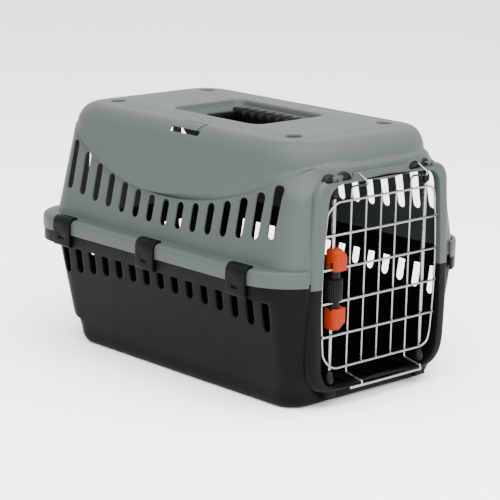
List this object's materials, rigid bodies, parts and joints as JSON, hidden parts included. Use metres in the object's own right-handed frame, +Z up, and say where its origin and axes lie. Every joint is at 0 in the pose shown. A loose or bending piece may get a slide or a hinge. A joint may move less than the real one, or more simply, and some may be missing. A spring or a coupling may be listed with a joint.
{
  "type": "pet transport carrier",
  "caption": "Two-shell plastic pet carrier with slotted walls, side clips, a folding roof handle and a wire door with a squeeze latch.",
  "frame": {"origin": "middle of the overall box, on the floor", "axes": "+X towards the doorway, +Z up, y = 0 is the middle plane"},
  "size_m": [0.4514, 0.32, 0.2895],
  "materials": {
    "shell_upper": "fine moulded grain, grey-green",
    "shell_lower": "fine moulded grain, charcoal",
    "clip_plastic": "satin charcoal",
    "handle_plastic": "satin black",
    "steel_wire": "bright zinc plate",
    "cap_plastic": "satin dark grey",
    "latch_black": "satin black",
    "latch_orange": "satin orange"
  },
  "bodies": {
    "shells": {"upper_shell": "shell_upper", "lower_shell": "shell_lower", "clip_pin_left_rear": "steel_wire", "clip_pin_left_middle": "steel_wire", "clip_pin_left_front": "steel_wire", "clip_pin_right_rear": "steel_wire", "clip_pin_right_middle": "steel_wire", "clip_pin_right_front": "steel_wire", "handle_pin_rear": "handle_plastic", "handle_pin_front": "handle_plastic"},
    "clip_left_rear": {"clip_left_rear": "clip_plastic"},
    "clip_left_middle": {"clip_left_middle": "clip_plastic"},
    "clip_left_front": {"clip_left_front": "clip_plastic"},
    "clip_right_rear": {"clip_right_rear": "clip_plastic"},
    "clip_right_middle": {"clip_right_middle": "clip_plastic"},
    "clip_right_front": {"clip_right_front": "clip_plastic"},
    "handle": {"carry_handle": "handle_plastic"},
    "door": {"door_loop": "steel_wire", "door_upright_1": "steel_wire", "door_upright_2": "steel_wire", "door_upright_3": "steel_wire", "door_upright_4": "steel_wire", "door_upright_5": "steel_wire", "door_crossbar_1": "steel_wire", "door_crossbar_2": "steel_wire", "door_crossbar_3": "steel_wire", "door_crossbar_4": "steel_wire", "door_stop_bar": "steel_wire", "door_hinge_rod": "steel_wire", "hinge_cap_upper": "cap_plastic", "hinge_cap_lower": "cap_plastic", "latch_housing": "latch_black", "latch_spring_upper": "steel_wire", "latch_spring_lower": "steel_wire"},
    "latch_upper": {"latch_grip_upper": "latch_orange", "latch_rod_upper": "steel_wire", "latch_tip_upper": "cap_plastic"},
    "latch_lower": {"latch_grip_lower": "latch_orange", "latch_rod_lower": "steel_wire", "latch_tip_lower": "cap_plastic"}
  },
  "joints": [
    {"name": "door_swing", "type": "hinge", "parent": "shells", "child": "door", "pos_m": [0.198, 0.0725, 0.144], "axis": [0, 0, 1], "range_deg": [0, 115]},
    {"name": "latch_upper_slide", "type": "slide", "parent": "door", "child": "latch_upper", "axis": [0, 0, -1], "range_m": [0, 0.0065], "stiffness_N_per_m": 300, "springref_m": -0.005, "deforming": ["latch_spring_upper"]},
    {"name": "latch_lower_slide", "type": "slide", "parent": "door", "child": "latch_lower", "axis": [0, 0, 1], "range_m": [0, 0.0065], "stiffness_N_per_m": 300, "springref_m": -0.005, "deforming": ["latch_spring_lower"]},
    {"name": "handle_fold", "type": "hinge", "parent": "shells", "child": "handle", "pos_m": [0, -0.014, 0.276], "axis": [1, 0, 0], "range_deg": [0, 90]},
    {"name": "clip_left_rear_turn", "type": "hinge", "parent": "shells", "child": "clip_left_rear", "pos_m": [-0.1567, -0.1505, 0.13], "axis": [1, 0, 0], "range_deg": [0, 100]},
    {"name": "clip_left_middle_turn", "type": "hinge", "parent": "shells", "child": "clip_left_middle", "pos_m": [-0.0087, -0.1505, 0.13], "axis": [1, 0, 0], "range_deg": [0, 100]},
    {"name": "clip_left_front_turn", "type": "hinge", "parent": "shells", "child": "clip_left_front", "pos_m": [0.1393, -0.1505, 0.13], "axis": [1, 0, 0], "range_deg": [0, 100]},
    {"name": "clip_right_rear_turn", "type": "hinge", "parent": "shells", "child": "clip_right_rear", "pos_m": [-0.1567, 0.1505, 0.13], "axis": [-1, 0, 0], "range_deg": [0, 100]},
    {"name": "clip_right_middle_turn", "type": "hinge", "parent": "shells", "child": "clip_right_middle", "pos_m": [-0.0087, 0.1505, 0.13], "axis": [-1, 0, 0], "range_deg": [0, 100]},
    {"name": "clip_right_front_turn", "type": "hinge", "parent": "shells", "child": "clip_right_front", "pos_m": [0.1393, 0.1505, 0.13], "axis": [-1, 0, 0], "range_deg": [0, 100]}
  ]
}
